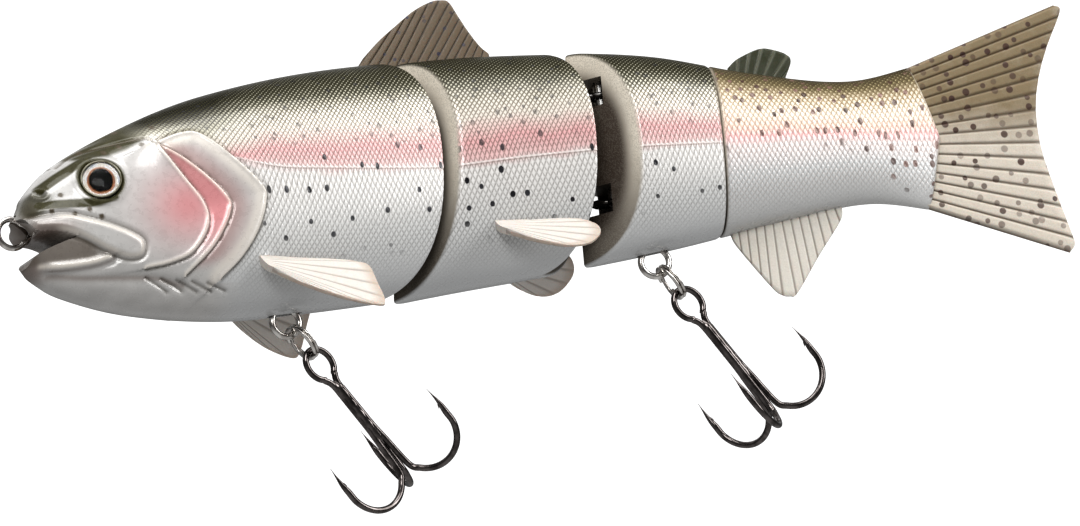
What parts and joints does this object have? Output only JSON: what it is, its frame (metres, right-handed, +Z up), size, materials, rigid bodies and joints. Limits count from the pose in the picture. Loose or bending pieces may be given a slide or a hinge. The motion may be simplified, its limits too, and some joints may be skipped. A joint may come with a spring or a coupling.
{
  "type": "jointed swimbait lure",
  "caption": "Jointed trout-shaped fishing lure: three hard segments on upright hinge pins, a soft tail, fins, a line tie ring, and treble hooks hung on split rings.",
  "frame": {"origin": "centre of the line tie ring at the snout", "axes": "+X from the snout along the head segment towards the tail, +Z up through the back, -Y the fish's left side"},
  "size_m": [0.242, 0.0586, 0.1115],
  "materials": {
    "painted_shell": "pearl and olive paint with a scale pattern under clear gloss",
    "soft_tail": "soft painted plastic, satin",
    "olive_fin": "soft translucent plastic, satin",
    "pearl_fin": "soft pearl plastic, satin",
    "eye_foil": "printed foil",
    "eye_lens": "clear polished",
    "nickel_wire": "bright nickel",
    "black_nickel": "polished black nickel",
    "stainless": "drawn stainless wire",
    "ballast": "cast, dull",
    "tail_peg": "moulded"
  },
  "bodies": {
    "head": {"head_shell_left": "painted_shell", "head_shell_right": "painted_shell", "eye_iris_left": "eye_foil", "eye_iris_right": "eye_foil", "eye_lens_left": "eye_lens", "eye_lens_right": "eye_lens", "line_tie": "nickel_wire", "front_hanger": "nickel_wire", "head_hinge_eye_upper": "stainless", "head_hinge_eye_lower": "stainless", "head_ballast": "ballast", "pectoral_fin_left": "pearl_fin", "pectoral_fin_right": "pearl_fin"},
    "middle": {"middle_shell_left": "painted_shell", "middle_shell_right": "painted_shell", "dorsal_fin": "olive_fin", "pelvic_fin_left": "pearl_fin", "pelvic_fin_right": "pearl_fin", "front_hinge_pin": "stainless", "middle_hinge_eye_upper": "stainless", "middle_hinge_eye_lower": "stainless", "middle_ballast": "ballast"},
    "rear": {"rear_shell_left": "painted_shell", "rear_shell_right": "painted_shell", "rear_hinge_pin": "stainless", "rear_hanger": "nickel_wire", "rear_ballast": "ballast", "tail_peg": "tail_peg", "soft_tail": "soft_tail"},
    "front_ring": {"front_split_ring": "nickel_wire"},
    "front_hook": {"front_treble": "black_nickel"},
    "rear_ring": {"rear_split_ring": "nickel_wire"},
    "rear_hook": {"rear_treble": "black_nickel"}
  },
  "joints": [
    {"name": "front_body_joint", "type": "hinge", "parent": "head", "child": "middle", "pos_m": [0.098, 0, 0.0117], "axis": [0, 0, 1], "range_deg": [-9, 43]},
    {"name": "rear_body_joint", "type": "hinge", "parent": "middle", "child": "rear", "pos_m": [0.13482, -0.01126, 0.0117], "axis": [0, 0, 1], "range_deg": [-32.5, 23.5]},
    {"name": "front_ring_swing", "type": "hinge", "parent": "head", "child": "front_ring", "pos_m": [0.0593, 0, -0.021], "axis": [0, 1, 0], "range_deg": [-25, 85]},
    {"name": "front_hook_swing", "type": "hinge", "parent": "front_ring", "child": "front_hook", "pos_m": [0.06243, 0, -0.02546], "axis": [0.8192, 0, 0.5736], "range_deg": [-45, 45]},
    {"name": "rear_ring_swing", "type": "hinge", "parent": "rear", "child": "rear_ring", "pos_m": [0.14155, -0.01275, -0.0138], "axis": [0.2164, 0.9763, 0], "range_deg": [-14, 82]},
    {"name": "rear_hook_swing", "type": "hinge", "parent": "rear_ring", "child": "rear_hook", "pos_m": [0.14437, -0.01337, -0.01842], "axis": [0.8279, -0.1836, 0.5299], "range_deg": [-45, 45]}
  ]
}
